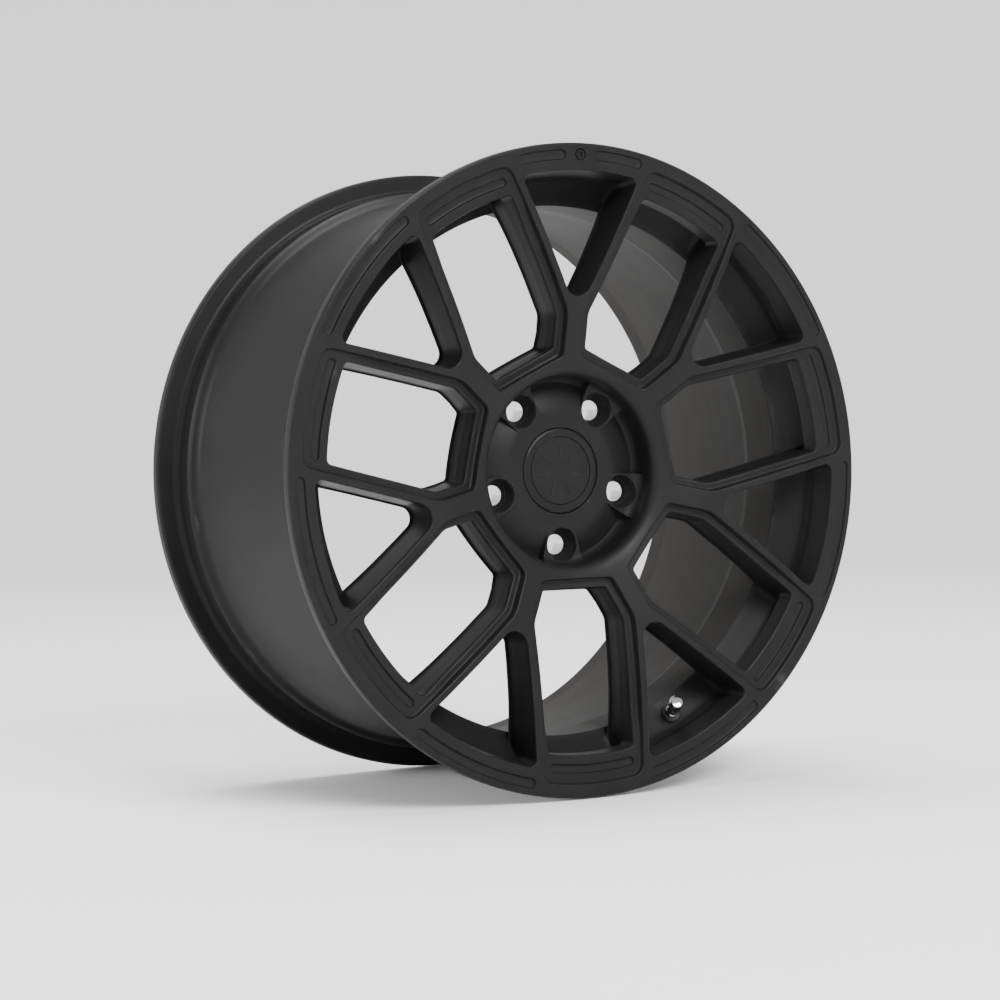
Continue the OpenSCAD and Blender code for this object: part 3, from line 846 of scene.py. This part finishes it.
def coatTree():  # fine powder-coat texture: a normal, and how rough and how worn the coat is
    tree, given, result = groupTree("coatTexture",
                                    (("Normal", "NodeSocketVector"), ("Roughness", "NodeSocketFloat"),
                                     ("Cloud", "NodeSocketFloat")),
                                    (("Strength", 1.0), ("Base Roughness", 0.42)))
    place = objectPlace(tree)
    grain = noiseNode(tree, place, coat["grain"], 2)
    peel = noiseNode(tree, place, coat["orangePeel"], 2)
    cloud = noiseNode(tree, place, coat["cloud"], 4)
    height = mathNode(tree, "ADD", mathNode(tree, "MULTIPLY", grain, coat["grainBump"]),
                      mathNode(tree, "MULTIPLY", peel, coat["peelBump"]))
    bump = tree.nodes.new("ShaderNodeBump")
    bump.inputs["Distance"].default_value = 0.0004
    tree.links.new(given.outputs["Strength"], bump.inputs["Strength"])
    tree.links.new(height, bump.inputs["Height"])
    tree.links.new(bump.outputs[0], result.inputs["Normal"])
    spread = mathNode(tree, "MULTIPLY", mathNode(tree, "SUBTRACT", cloud, 0.5), 0.16)
    fine = mathNode(tree, "MULTIPLY", mathNode(tree, "SUBTRACT", grain, 0.5), 0.12)
    rough = mathNode(tree, "ADD", given.outputs["Base Roughness"], mathNode(tree, "ADD", spread, fine),
                     clamp=True)
    tree.links.new(rough, result.inputs["Roughness"])
    tree.links.new(cloud, result.inputs["Cloud"])
    return tree


def edgeTree():  # masks for edges, lightened as rubbed wear and painted highlight, and for corners, where the coat gathers dust and bare metal gets painted shade
    tree, given, result = groupTree("edgesAndCorners",
                                    (("Edge", "NodeSocketFloat"), ("Corner", "NodeSocketFloat")),
                                    (("Breakup", 130.0),))
    place = objectPlace(tree)
    point = tree.nodes.new("ShaderNodeNewGeometry").outputs["Pointiness"]
    noise = tree.nodes.new("ShaderNodeTexNoise")
    noise.inputs["Detail"].default_value = 4
    tree.links.new(place, noise.inputs["Vector"])
    tree.links.new(given.outputs["Breakup"], noise.inputs["Scale"])
    broken = remap(tree, noise.outputs["Fac"], 0.36, 0.62)
    edge = remap(tree, point, 0.52, 0.62)
    corner = remap(tree, point, 0.48, 0.40)
    tree.links.new(mathNode(tree, "MULTIPLY", edge, broken, True), result.inputs["Edge"])
    tree.links.new(mathNode(tree, "MULTIPLY", corner, broken, True), result.inputs["Corner"])
    return tree


def turnedTree():  # fine rings left by turning, about the axle and along it
    tree, given, result = groupTree("turnedRings",
                                    (("Height", "NodeSocketFloat"), ("Streak", "NodeSocketFloat")),
                                    (("Rings", 900.0),))
    place = objectPlace(tree)
    split = tree.nodes.new("ShaderNodeSeparateXYZ")
    tree.links.new(place, split.inputs[0])
    across = mathNode(tree, "ADD", mathNode(tree, "MULTIPLY", split.outputs["X"], split.outputs["X"]),
                      mathNode(tree, "MULTIPLY", split.outputs["Z"], split.outputs["Z"]))
    radius = mathNode(tree, "SQRT", across)
    line = tree.nodes.new("ShaderNodeCombineXYZ")
    tree.links.new(radius, line.inputs["X"])
    tree.links.new(split.outputs["Y"], line.inputs["Y"])
    noise = tree.nodes.new("ShaderNodeTexNoise")
    noise.inputs["Detail"].default_value = 3
    tree.links.new(line.outputs[0], noise.inputs["Vector"])
    tree.links.new(given.outputs["Rings"], noise.inputs["Scale"])
    tree.links.new(noise.outputs["Fac"], result.inputs["Height"])
    streak = noiseNode(tree, line.outputs[0], 90.0, 2)
    tree.links.new(streak, result.inputs["Streak"])
    return tree


coatTexture, edgesAndCorners, turnedRings = coatTree(), edgeTree(), turnedTree()


class Paint:
    # one material being built

    def __init__(self, name, colour, metallic=0.0, rough=0.5):
        self.material = bpy.data.materials.new(name)
        self.material.use_nodes = True
        self.material.diffuse_color = colour + (1,)
        self.tree = self.material.node_tree
        self.shader = self.tree.nodes["Principled BSDF"]
        self.shader.inputs["Base Color"].default_value = colour + (1,)
        self.shader.inputs["Metallic"].default_value = metallic
        self.shader.inputs["Roughness"].default_value = rough

    def group(self, tree, **values):
        node = self.tree.nodes.new("ShaderNodeGroup")
        node.node_tree = tree
        for label, value in values.items():
            node.inputs[label].default_value = value
        return node.outputs

    def mixed(self, mask, a, b):  # a colour or socket, then another over it
        node = self.tree.nodes.new("ShaderNodeMix")
        node.data_type = "RGBA"
        self.tree.links.new(mask, node.inputs["Factor"])
        for label, value in (("A", a), ("B", b)):
            socket = next(i for i in node.inputs if i.name == label and i.type == "RGBA")
            if isinstance(value, tuple):
                socket.default_value = value + (1,)
            else:
                self.tree.links.new(value, socket)
        return next(o for o in node.outputs if o.type == "RGBA")

    def into(self, label, socket):
        self.tree.links.new(socket, self.shader.inputs[label])


# the worn edge colour lightens edges partly as rubbed coat and partly as painted highlight
finish = {
    "forging": (0.0088, 0.0088, 0.0092), "forgingRough": 0.42, "forgingWornAndHighlight": (0.040, 0.040, 0.042),
    "gloss": 0.10,
    "inside": (0.0195, 0.0180, 0.0166), "insideRough": 0.55,
    "dust": (0.10, 0.095, 0.088),
    "cap": (0.0086, 0.0086, 0.0090), "capRough": 0.42,
    "steel": (0.66, 0.67, 0.68), "chrome": (0.62, 0.63, 0.65), "brass": (0.66, 0.47, 0.19),
    "rubber": (0.012, 0.012, 0.012), "seal": (0.13, 0.018, 0.012),
}


def coated(name, colour, wornAndHighlight, rough, wearAndHighlight=0.5, dust=0.10, rings=0.0):
    paint = Paint(name, colour, 0.0, rough)
    texture = paint.group(coatTexture, **{"Strength": 1.0, "Base Roughness": rough})
    edges = paint.group(edgesAndCorners)
    tree = paint.tree
    shade = paint.mixed(remap(tree, texture["Cloud"], 0.3, 0.7), tuple(c * 0.9 for c in colour),
                        tuple(c * 1.12 for c in colour))
    # edges lightened towards the worn colour: partly rubbed wear, partly painted highlight
    shade = paint.mixed(mathNode(tree, "MULTIPLY", edges["Edge"], wearAndHighlight), shade, wornAndHighlight)
    shade = paint.mixed(mathNode(tree, "MULTIPLY", edges["Corner"], dust), shade, finish["dust"])
    if rings:
        lines = paint.group(turnedRings, Rings=700.0)
        shade = paint.mixed(remap(tree, lines["Streak"], 0.35, 0.75, 0.0, rings), shade,
                            tuple(c * 1.5 for c in colour))
    paint.into("Base Color", shade)
    paint.into("Roughness", mathNode(tree, "SUBTRACT", texture["Roughness"],
                                     mathNode(tree, "MULTIPLY", edges["Edge"], 0.1), True))
    paint.into("Normal", texture["Normal"])
    paint.shader.inputs["Specular IOR Level"].default_value = finish["gloss"]
    return paint.material


def turnedMetal(name, colour, rough, rings=900.0, bumpStrength=0.25):
    paint = Paint(name, colour, 1.0, rough)
    tree = paint.tree
    lines = paint.group(turnedRings, Rings=rings)
    edges = paint.group(edgesAndCorners, Breakup=600.0)
    bump = tree.nodes.new("ShaderNodeBump")
    bump.inputs["Distance"].default_value = 0.00008
    bump.inputs["Strength"].default_value = bumpStrength
    tree.links.new(lines["Height"], bump.inputs["Height"])
    paint.into("Normal", bump.outputs[0])
    paint.into("Roughness", remap(tree, lines["Streak"], 0.2, 0.8, rough * 0.7, rough * 1.4))
    # colour darkened in corners and creases: painted shade
    paint.into("Base Color", paint.mixed(mathNode(tree, "MULTIPLY", edges["Corner"], 0.7), colour,
                                         tuple(c * 0.35 for c in colour)))
    return paint.material


def moulded(name, colour, rough, scale=1400.0):
    paint = Paint(name, colour, 0.0, rough)
    tree = paint.tree
    place = objectPlace(tree)
    grain = noiseNode(tree, place, scale, 3)
    bloom = noiseNode(tree, place, scale / 12, 4)
    bump = tree.nodes.new("ShaderNodeBump")
    bump.inputs["Distance"].default_value = 0.0001
    bump.inputs["Strength"].default_value = 0.35
    tree.links.new(grain, bump.inputs["Height"])
    paint.into("Normal", bump.outputs[0])
    paint.into("Roughness", remap(tree, bloom, 0.25, 0.75, rough - 0.1, rough + 0.12))
    paint.into("Base Color", paint.mixed(remap(tree, bloom, 0.35, 0.75, 0.0, 0.5), colour,
                                         tuple(c * 1.8 + 0.006 for c in colour)))
    return paint.material


forgingBlack = coated("forgingBlack", finish["forging"], finish["forgingWornAndHighlight"], finish["forgingRough"],
                      wearAndHighlight=0.8)
barrelInside = coated("barrelInside", finish["inside"], finish["forgingWornAndHighlight"], finish["insideRough"],
                      rings=0.5)
capBlack = coated("capBlack", finish["cap"], finish["forgingWornAndHighlight"], finish["capRough"], wearAndHighlight=0.35)
seatSteel = turnedMetal("seatSteel", finish["steel"], 0.24)
springSteel = turnedMetal("springSteel", finish["steel"], 0.30, 2400.0)
valveBrass = turnedMetal("valveBrass", finish["brass"], 0.27, 1800.0)
valveChrome = turnedMetal("valveChrome", finish["chrome"], 0.10, 1500.0, 0.12)
valveRubberSkin = moulded("valveRubber", finish["rubber"], 0.62)
sealRubber = moulded("sealRubber", finish["seal"], 0.55)

# The forging: seven sectors, five hub fifths and the barrel, joined into one piece

print("building the forging")
sectorMeshes = {kind: tidied(meshFrom(withMirror(halfSector(kind)), kind))
                for kind in ("plain", "marked", "valved")}
hubFifth = tidied(meshFrom(withMirror(hubTenth()), "hubFifth"))
parts = [
    repeated(sectorMeshes["marked"], 1, pitch, 0, forgingBlack),
    repeated(sectorMeshes["plain"], 2, pitch, pitch, forgingBlack),
    repeated(sectorMeshes["valved"], 1, pitch, 3 * pitch, forgingBlack),
    repeated(sectorMeshes["plain"], 3, pitch, 4 * pitch, forgingBlack),
    repeated(hubFifth, lugs, 2 * math.pi / lugs, 0, forgingBlack),
    meshFrom(barrelShell(), "barrel"),
    meshFrom(markRing(), "mark"),
]
forgedRim = placed(merged(parts, "forged_rim"), "forged_rim")
forgedRim.data.materials.append(forgingBlack)
forgedRim.data.materials.append(barrelInside)
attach(forgedRim, "wheel")
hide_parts("rim_barrel", "hub_centre", *["y_spoke_%d" % (i + 1) for i in range(spokes)])

# Lug seats: bare steel inserts, drawn at the top of the bolt circle and repeated

seat = {"outsideR": 9.98, "top": 48.81, "holeR": 7.7, "taperEnd": 52.8, "bottom": 70.5, "steps": 72}


def seatShell():  # the taper is coated with the rim, the bore is bare
    shell = Shell()
    section = rounded([(seat["outsideR"], 60, 0), (seat["outsideR"], seat["top"], 0.25),
                       (seat["holeR"], seat["taperEnd"], 0.6), (seat["holeR"], 66.15, 0.8),
                       (9, seat["bottom"], 0.2), (seat["outsideR"], seat["bottom"], 0.2),
                       (seat["outsideR"], 60, 0)], 3)
    rings = [[(r * math.cos(2 * math.pi * i / seat["steps"]),
               hub["lugCircle"] + r * math.sin(2 * math.pi * i / seat["steps"]), d)
              for i in range(seat["steps"])]
             for r, d in section]
    loft(shell, rings, closed=True)
    return shell


def finished(mesh, name, body, slotName, *nodes):
    piece = placed(mesh, name)
    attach(piece, body)
    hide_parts(*nodes)
    return piece


print("building the lug seats")
lugMesh = repeated(tidied(meshFrom(seatShell(), "seat")), lugs, 2 * math.pi / lugs, math.pi / lugs, seatSteel)
seatPiece = finished(merged([lugMesh], "lug_seats"), "lug_seats", "wheel", "seat_steel",
                     *["lug_seat_%d" % (i + 1) for i in range(lugs)])
seatPiece.data.materials.append(seatSteel)
seatPiece.data.materials.append(forgingBlack)
for polygon in seatPiece.data.polygons:
    if polygon.center.y < (seat["taperEnd"] - 0.1 - halfWidth) * mm:
        polygon.material_index = 1

# Centre cap: face, badge plate with its bars, and a skirt of six legs

cap = {"around": 140, "legs": 6, "legGap": 6.2, "legInside": 27.2, "legOutside": 29.2, "legEnd": 55.1}


def capShell():
    shell = Shell()
    section = [(0, 44.2, 0), (33, 44.6, 0.3), (33, 42.0, 0.35), (32.45, 41.2, 0.5), (30.9, 40.55, 1.2),
               (26.5, 40.5, 0.25), (26.2, 41.6, 0), (0, 41.6, 0)]
    angles = [2 * math.pi * i / cap["around"] for i in range(cap["around"] + 1)]
    revolve(shell, rounded(section, 3), angles)
    return shell


def capLeg():
    shell = Shell()
    half = math.pi / cap["legs"] - cap["legGap"] / 2 / cap["legOutside"]
    section = rounded([(28.2, 43.9, 0), (cap["legOutside"], 43.9, 0), (cap["legOutside"], 53.2, 0.6),
                       (cap["legOutside"] - 0.7, cap["legEnd"], 0.3), (cap["legInside"], cap["legEnd"], 0.3),
                       (cap["legInside"], 53.0, 0.3), (cap["legInside"] + 0.75, 52.5, 0.3),
                       (cap["legInside"], 52.0, 0.3), (cap["legInside"], 43.9, 0), (28.2, 43.9, 0)], 3)[:-1]
    rows = [[(r * math.sin(t), r * math.cos(t), d) for r, d in section]
            for t in [-half + 2 * half * i / 18 for i in range(19)]]
    loft(shell, rows, closed=True)
    for first, row in ((0, 0), (18 * len(section), 1)):
        corners = [first + i for i in range(len(section))]
        shell.face(corners if row else corners[::-1])
    return shell


badge = {"plateR": 25.9, "plateTop": 40.8, "plateBack": 41.6, "bars": 7, "barFrom": 9.5, "barTo": 20.0,
         "barHalf": 1.4, "barTop": 40.42}


def badgePlate():
    shell = Shell()
    section = rounded([(0, badge["plateBack"], 0), (badge["plateR"], badge["plateBack"], 0),
                       (badge["plateR"], badge["plateTop"], 0.25), (0, badge["plateTop"], 0)], 3)
    revolve(shell, section, [2 * math.pi * i / 96 for i in range(97)])
    return shell


def badgeBar():  # a short bar with round ends, pointing outwards
    shell = Shell()
    outline = lambda r: (arcPoints((0, badge["barTo"] - badge["barHalf"]), r, 0, math.pi, 8)
                         + arcPoints((0, badge["barFrom"] + badge["barHalf"]), r, math.pi, 2 * math.pi, 8))
    rows = [[(x, y, d) for x, y in outline(badge["barHalf"] - inset)]
            for inset, d in ((0, 41.0), (0, badge["barTop"] + 0.15), (0.05, badge["barTop"] + 0.05),
                             (0.18, badge["barTop"]))]
    loft(shell, rows, closed=True)
    count = len(rows[0])
    shell.face([3 * count + i for i in range(count)])
    shell.face([i for i in reversed(range(count))])
    return shell


print("building the centre cap")
legTurn = 2 * math.pi / cap["legs"]
legs = repeated(tidied(meshFrom(capLeg(), "leg")), cap["legs"], legTurn, math.pi / cap["legs"], capBlack)
capPiece = finished(merged([meshFrom(capShell(), "capFace"), legs], "centre_cap_shell"), "centre_cap_shell",
                    "centre_cap", "cap_black", "centre_cap")
capPiece.data.materials.append(capBlack)
bars = repeated(tidied(meshFrom(badgeBar(), "bar")), badge["bars"], 2 * math.pi / badge["bars"], 0, capBlack)
badgePiece = finished(merged([meshFrom(badgePlate(), "plate"), bars], "cap_badge_plate"), "cap_badge_plate",
                      "centre_cap", "cap_badge", "cap_badge")
badgePiece.data.materials.append(capBlack)

# Tyre valve, drawn in its own frame at the top and turned to its spoke

valve.update({"steps": 72, "turns": 3, "flutes": 12, "threadPitch": 0.8, "threadDeep": 0.42})


def valveLathe(section, radiusAt=None):  # a closed section of (radius, z) turned about the valve's axis
    shell = Shell()
    steps = valve["steps"]
    rings = []
    for rho, z in section + section[:1]:
        ring = []
        for i in range(steps):
            a = 2 * math.pi * i / steps
            r = radiusAt(rho, z, a) if radiusAt else rho
            ring.append(valvePoint(r * math.cos(a), r * math.sin(a), z))
        rings.append(ring)
    loft(shell, rings, closed=True)
    return shell


def valvePiece(section, name, body, slotName, node, material, radiusAt=None):
    unit = tidied(meshFrom(valveLathe(section, radiusAt), name), 2e-6)
    turnedMesh = repeated(unit, 1, pitch, valve["turns"] * pitch, material)
    piece = finished(merged([turnedMesh], name, 2e-6), name, body, slotName, node)
    piece.data.materials.append(material)
    return piece


def fluted(rho, z, a):
    if rho < 5 or z < 13.3 or z > 20.3:
        return rho
    return rho - 0.32 * (0.5 + 0.5 * math.cos(valve["flutes"] * a)) ** 2


def threaded(rho, z, a):
    if rho < 3.8 or z < 12.3 or z > 19.5:
        return rho
    phase = (z / valve["threadPitch"] - a / (2 * math.pi)) % 1
    return rho - valve["threadDeep"] * (1 - abs(2 * phase - 1))


print("building the tyre valve")
rubberSection = [(3.1, -20, 0), (6, -20, 1), (7.6, -15, 2), (8.3, -8.5, 2), (8.3, -4.8, 0.5),
                 (5.65, -4.8, 0.3), (5.65, -0.8, 0), (7.9, -0.8, 0.2), (7.9, 1.2, 0.8), (6.6, 3.2, 0.9),
                 (5.05, 3.8, 0.4), (5.05, 5.15, 0), (3.1, 5.15, 0)]
sleeveSection = [(5, 3.8, 0), (5.4, 4.2, 0.15), (5.4, 6.2, 0.25), (4.9, 6.6, 0.2), (4.9, 11.4, 0.25),
                 (4.4, 12, 0.15), (4, 12, 0), (4, 5.2, 0)]
valvePiece(rounded(rubberSection, 4),
           "valve_rubber_body", "wheel", "valve_rubber", "valve_rubber", valveRubberSkin)
valvePiece(rounded(sleeveSection, 3),
           "valve_chrome_sleeve", "wheel", "valve_chrome", "valve_sleeve", valveChrome)
stemOutside = [(1.8, -21.5), (3.1, -21.5), (3.1, 5.2), (4, 5.2), (4, 12)]
stemThread = [(3.85, 12.2 + 0.1 * i) for i in range(74)]
valvePiece(stemOutside + stemThread + [(3.4, 20), (2.65, 20), (2.65, 9), (1.8, 7)],
           "valve_stem_threaded", "wheel", "valve_brass", "valve_stem", valveBrass, threaded)
valvePiece(rounded([(4.15, 12.4, 0), (5.2, 12.4, 0.2), (5.5, 12.9, 0.2)], 2)
           + [(5.5, 13.3 + 0.5 * i) for i in range(15)]
           + rounded([(5.5, 20.4, 0), (5.2, 21.0, 0.4), (4.6, 21.8, 0.6), (0, 22.2, 0)], 4)
           + [(0, 20.9), (4.15, 20.9)],
           "valve_cap_chrome", "valve_cap", "valve_chrome", "valve_cap", valveChrome, fluted)

# Coil spring round the core's pin, with closely wound ends
spring = {"coilR": 1.36, "wireR": 0.18, "low": 11.0, "high": 17.0, "turns": 6, "perTurn": 36, "sides": 10,
          "endTurns": 0.8, "closedPitch": 2.1, "travel": 0.8, "mergeGap": 2e-6}


def springShell():
    shell = Shell()
    steps = spring["turns"] * spring["perTurn"]
    low, high = spring["low"] + spring["wireR"], spring["high"] - spring["wireR"]
    ends, wire = spring["endTurns"], spring["closedPitch"] * spring["wireR"]
    rows = []
    for i in range(steps + 1):
        turn = spring["turns"] * i / steps
        if turn < ends:
            z = low + wire * turn
        elif turn > spring["turns"] - ends:
            z = high - wire * (spring["turns"] - turn)
        else:
            share = (turn - ends) / (spring["turns"] - 2 * ends)
            z = low + wire * ends + (high - low - 2 * wire * ends) * share
        row = []
        for k in range(spring["sides"]):
            b = 2 * math.pi * k / spring["sides"]
            r = spring["coilR"] + spring["wireR"] * math.cos(b)
            a = 2 * math.pi * turn
            row.append(valvePoint(r * math.cos(a), r * math.sin(a), z + spring["wireR"] * math.sin(b)))
        rows.append(row)
    loft(shell, rows, closed=True)
    shell.face([i for i in reversed(range(spring["sides"]))])
    shell.face([steps * spring["sides"] + i for i in range(spring["sides"])])
    return shell


coilMesh = tidied(meshFrom(springShell(), "coil"), spring["mergeGap"])
coilMesh = repeated(coilMesh, 1, pitch, valve["turns"] * pitch, springSteel)
coilPiece = finished(merged([coilMesh], "core_coil", spring["mergeGap"]),
                     "core_coil", "wheel", "spring_steel", "core_spring")
coilPiece.data.materials.append(springSteel)
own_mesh(coilPiece)

# CAD parts that show as they are

for names, material in ((("cap_wire_ring",), springSteel), (("core_barrel", "core_pin"), valveBrass),
                        (("core_gasket", "core_cup", "valve_cap_seal"), sealRubber)):
    for name in names:
        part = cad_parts[name]
        if not part.material_slots:
            part.data.materials.append(material)
        for place in part.material_slots:
            place.material = material

# Studio: a pale floor that curves up all round, and soft lights

studio = {
    "floorHeight": -0.2492, "flatR": 3.4, "curveR": 2.6, "wallTop": 4.5, "curveSteps": 16, "around": 96,
    "floorColour": (0.92, 0.92, 0.92), "floorRough": 0.8,
    "world": 0.6,
    "lights": (
        ("key", (0.1, -3.2, 2.2), 1.5, 230),
        ("left", (-3.3, 1.1, 0.9), 1.6, 75),
        ("top", (-0.3, 0.7, 3.8), 2.6, 190),
    ),
}


def makeStudio():
    profile = [(0, 0), (studio["flatR"], 0)]
    bend, around = studio["curveSteps"], studio["around"]
    profile += [(studio["flatR"] + studio["curveR"] * math.sin(math.pi / 2 * i / bend),
                 studio["curveR"] * (1 - math.cos(math.pi / 2 * i / bend))) for i in range(1, bend + 1)]
    profile.append((studio["flatR"] + studio["curveR"], studio["wallTop"]))
    points, faces = [], []
    for r, z in profile:
        points += [(r * math.cos(2 * math.pi * i / around), r * math.sin(2 * math.pi * i / around),
                    z + studio["floorHeight"]) for i in range(around)]
    for row in range(len(profile) - 1):
        start = row * around
        for i in range(around):
            j = (i + 1) % around
            faces.append([start + around + i, start + around + j, start + j, start + i])
    mesh = bpy.data.meshes.new("floor")
    mesh.from_pydata(points, [], faces)
    floor = placed(tidied(mesh), "floor")
    paint = Paint("studioFloor", studio["floorColour"], 0.0, studio["floorRough"])
    floor.data.materials.append(paint.material)
    for name, place, size, power in studio["lights"]:
        data = bpy.data.lights.new(name, "AREA")
        data.shape = "SQUARE"
        data.size = size
        data.energy = power
        lamp = bpy.data.objects.new(name, data)
        bpy.context.scene.collection.objects.link(lamp)
        lamp.location = place
        lamp.rotation_euler = (-Vector(place)).to_track_quat("-Z", "Y").to_euler()
    world = bpy.data.worlds.new("studio")
    world.use_nodes = True
    world.node_tree.nodes["Background"].inputs["Color"].default_value = (1, 1, 1, 1)
    world.node_tree.nodes["Background"].inputs["Strength"].default_value = studio["world"]
    bpy.context.scene.world = world


print("lighting")
makeStudio()
